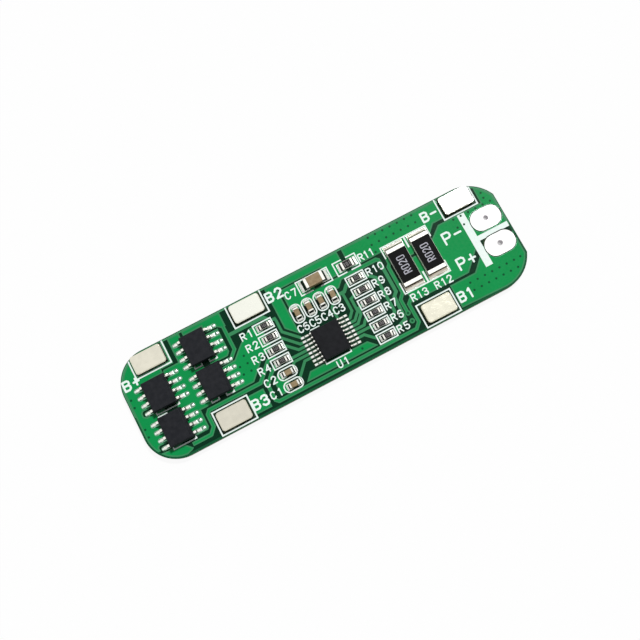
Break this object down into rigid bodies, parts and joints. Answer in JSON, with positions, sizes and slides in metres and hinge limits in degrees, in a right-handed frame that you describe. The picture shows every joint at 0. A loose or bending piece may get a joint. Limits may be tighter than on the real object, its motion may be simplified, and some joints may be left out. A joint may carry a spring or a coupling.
{
  "type": "battery management board",
  "caption": "Long round-cornered green circuit board with nickel weld tabs, switching transistors, a protection chip, shunts and wire pads for a row of lithium cells.",
  "frame": {"origin": "centre of the flat underside", "axes": "+X along the board from the B+ end to the wire pads, +Y across it to the side of the B+ tab, +Z out of the fitted face"},
  "size_m": [0.0644, 0.0176, 0.0028],
  "materials": {
    "glass_epoxy": "glass-epoxy laminate, straw green at the cut edge",
    "copper": "bare copper, hidden under the mask",
    "solder_mask": "glossy green liquid solder mask, dark over bare laminate",
    "legend_ink": "white legend ink with a green cast",
    "tinned_copper": "bright hot-air levelled tin",
    "nickel": "satin nickel",
    "solder": "bright reflowed solder",
    "tin_plate": "matt tin plate",
    "moulded_epoxy": "charcoal moulded epoxy",
    "resistor_glaze": "black glaze",
    "alumina": "white alumina",
    "capacitor_ceramic": "tan fired ceramic"
  },
  "bodies": {
    "root": {"laminate": "glass_epoxy", "copper_top": "copper", "copper_bottom": "copper", "mask_top": "solder_mask", "mask_bottom": "solder_mask", "silkscreen": "legend_ink", "vias": "copper", "wire_pad_p_minus": "tinned_copper", "wire_pad_p_plus": "tinned_copper", "tab_b_plus": "nickel", "tab_b3": "nickel", "tab_b2": "nickel", "tab_b1": "nickel", "tab_b_minus": "nickel", "tab_solder": "solder", "transistor_1": "moulded_epoxy", "transistor_2": "moulded_epoxy", "transistor_3": "moulded_epoxy", "transistor_4": "moulded_epoxy", "transistor_1_leads": "tin_plate", "transistor_2_leads": "tin_plate", "transistor_3_leads": "tin_plate", "transistor_4_leads": "tin_plate", "transistor_solder": "solder", "protection_ic": "moulded_epoxy", "protection_ic_leads": "tin_plate", "protection_ic_solder": "solder", "resistor_1": "alumina", "resistor_2": "alumina", "resistor_3": "alumina", "resistor_4": "alumina", "resistor_5": "alumina", "resistor_6": "alumina", "resistor_7": "alumina", "resistor_8": "alumina", "resistor_9": "alumina", "resistor_10": "alumina", "resistor_11": "alumina", "resistor_coats": "resistor_glaze", "resistor_ends": "tin_plate", "resistor_11_ends": "tin_plate", "shunt_12": "alumina", "shunt_13": "alumina", "shunt_12_coat": "resistor_glaze", "shunt_13_coat": "resistor_glaze", "shunt_12_ends": "tin_plate", "shunt_13_ends": "tin_plate", "capacitor_1": "capacitor_ceramic", "capacitor_2": "capacitor_ceramic", "capacitor_3": "capacitor_ceramic", "capacitor_4": "capacitor_ceramic", "capacitor_5": "capacitor_ceramic", "capacitor_6": "capacitor_ceramic", "capacitor_7": "capacitor_ceramic", "capacitor_ends": "tin_plate", "capacitor_7_ends": "tin_plate", "chip_solder": "solder", "shunt_solder": "solder"}
  },
  "joints": []
}
